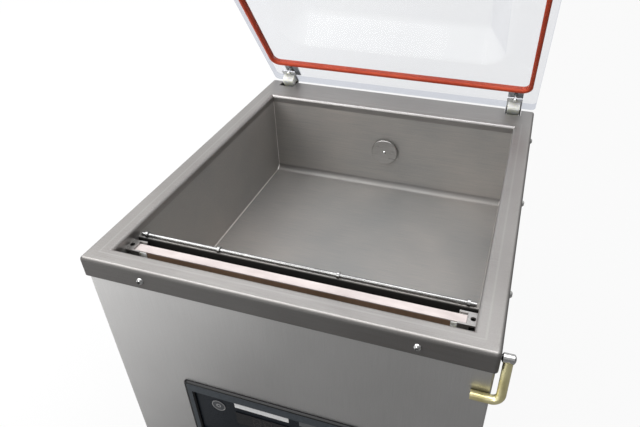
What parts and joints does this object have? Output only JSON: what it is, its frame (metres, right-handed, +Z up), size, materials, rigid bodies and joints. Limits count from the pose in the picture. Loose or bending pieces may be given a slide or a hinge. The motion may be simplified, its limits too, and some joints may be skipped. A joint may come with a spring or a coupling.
{
  "type": "chamber vacuum sealer",
  "caption": "Countertop chamber vacuum sealer: steel cabinet with a deep tank, lifting seal bar, control panel and a clear domed lid hinged at the rear.",
  "frame": {"origin": "on the table under the middle of the machine's outline with its lid open", "axes": "+Z up, -Y towards the front with the control panel, +X to the user's right"},
  "size_m": [0.4976, 0.58, 0.8969],
  "materials": {
    "satin_steel": "satin stainless sheet",
    "base_steel": "grey painted steel",
    "bright_metal": "bright steel",
    "alloy": "plain",
    "clear_acrylic": "clear, polished",
    "orange_silicone": "matt",
    "grey_silicone": "matt",
    "ivory_nylon": "matt",
    "brown_bakelite": "satin",
    "ptfe_cloth": "woven PTFE",
    "nichrome": "bare",
    "yellow_zinc": "yellow zinc plated",
    "black_gloss": "gloss",
    "panel_film": "gloss film",
    "display_smoke": "gloss smoked",
    "label_white": "bare",
    "key_plastic": "satin",
    "black_rubber": "matt",
    "board_green": "satin",
    "pump_paint": "painted casting",
    "sight_glass": "clear",
    "black_plastic": "matt",
    "copper_core": "varnished",
    "red_plastic": "gloss"
  },
  "bodies": {
    "cabinet": {"base_pan": "base_steel", "rubber_feet": "black_rubber", "cabinet_wrap": "satin_steel", "rear_panel": "satin_steel", "rear_panel_screws": "bright_metal", "deck": "satin_steel", "skirt_screws": "bright_metal", "tank_wrap": "satin_steel", "tank_end_left": "satin_steel", "tank_end_right": "satin_steel", "suction_cover": "satin_steel", "suction_screw": "bright_metal", "suction_pipe": "bright_metal", "hinge_bracket_left": "base_steel", "hinge_bracket_right": "base_steel", "hinge_pins": "bright_metal", "lift_cylinders": "alloy", "bar_guide_left": "satin_steel", "bar_guide_right": "satin_steel", "bag_rest_plate": "satin_steel", "bag_rod": "bright_metal", "rod_clips": "bright_metal", "panel_bezel": "black_gloss", "panel_face": "panel_film", "display_window": "display_smoke", "bare_labels": "label_white", "control_board": "board_green", "pump_body": "pump_paint", "oil_box": "pump_paint", "oil_sight_glass": "sight_glass", "pump_motor": "pump_paint", "fan_cowl": "base_steel", "vacuum_hose": "black_rubber", "air_valve": "black_plastic", "seal_transformer": "copper_core", "mains_inlet": "black_plastic", "lid_sensor": "alloy"},
    "lid": {"lid_shell": "clear_acrylic", "lid_gasket": "orange_silicone", "hinge_block_left": "ivory_nylon", "hinge_block_right": "ivory_nylon", "hinge_leaves": "bright_metal", "hinge_bolts": "bright_metal", "pressure_holder": "alloy", "pressure_strip": "grey_silicone"},
    "seal_bar": {"seal_bar_body": "brown_bakelite", "bar_cap_left": "ivory_nylon", "bar_cap_right": "ivory_nylon", "heating_band": "nichrome", "ptfe_cover": "ptfe_cloth", "lift_pistons": "bright_metal"},
    "latch": {"latch_pin": "bright_metal", "latch_hook": "yellow_zinc"},
    "key_power_body": {"key_power": "key_plastic"},
    "key_select_body": {"key_select": "key_plastic"},
    "key_minus_body": {"key_minus": "key_plastic"},
    "key_plus_body": {"key_plus": "key_plastic"},
    "key_stop_body": {"key_stop": "key_plastic"},
    "mains_switch": {"mains_rocker": "red_plastic"},
    "fan": {"cooling_fan": "black_plastic"}
  },
  "joints": [
    {"name": "lid_hinge", "type": "hinge", "parent": "cabinet", "child": "lid", "pos_m": [0, 0.2685, 0.435], "axis": [1, 0, 0], "range_deg": [0, 54.3], "stiffness_Nm_per_rad": 4.2, "springref_deg": -137.51},
    {"name": "seal_bar_lift", "type": "slide", "parent": "cabinet", "child": "seal_bar", "axis": [0, 0, 1], "range_m": [0, 0.01]},
    {"name": "latch_swing", "type": "hinge", "parent": "cabinet", "child": "latch", "pos_m": [0.248, -0.2735, 0.427], "axis": [-1, 0, 0], "range_deg": [0, 165]},
    {"name": "key_power_press", "type": "slide", "parent": "cabinet", "child": "key_power_body", "axis": [0, 1, 0], "range_m": [0, 0.0006], "stiffness_N_per_m": 300},
    {"name": "key_select_press", "type": "slide", "parent": "cabinet", "child": "key_select_body", "axis": [0, 1, 0], "range_m": [0, 0.0006], "stiffness_N_per_m": 300},
    {"name": "key_minus_press", "type": "slide", "parent": "cabinet", "child": "key_minus_body", "axis": [0, 1, 0], "range_m": [0, 0.0006], "stiffness_N_per_m": 300},
    {"name": "key_plus_press", "type": "slide", "parent": "cabinet", "child": "key_plus_body", "axis": [0, 1, 0], "range_m": [0, 0.0006], "stiffness_N_per_m": 300},
    {"name": "key_stop_press", "type": "slide", "parent": "cabinet", "child": "key_stop_body", "axis": [0, 1, 0], "range_m": [0, 0.0006], "stiffness_N_per_m": 300},
    {"name": "mains_rock", "type": "hinge", "parent": "cabinet", "child": "mains_switch", "pos_m": [-0.17, 0.26075, 0.11292], "axis": [1, 0, 0], "range_deg": [0, 12]},
    {"name": "fan_spin", "type": "hinge", "parent": "cabinet", "child": "fan", "pos_m": [-0.05, 0.06, 0.122], "axis": [1, 0, 0], "continuous": true}
  ]
}
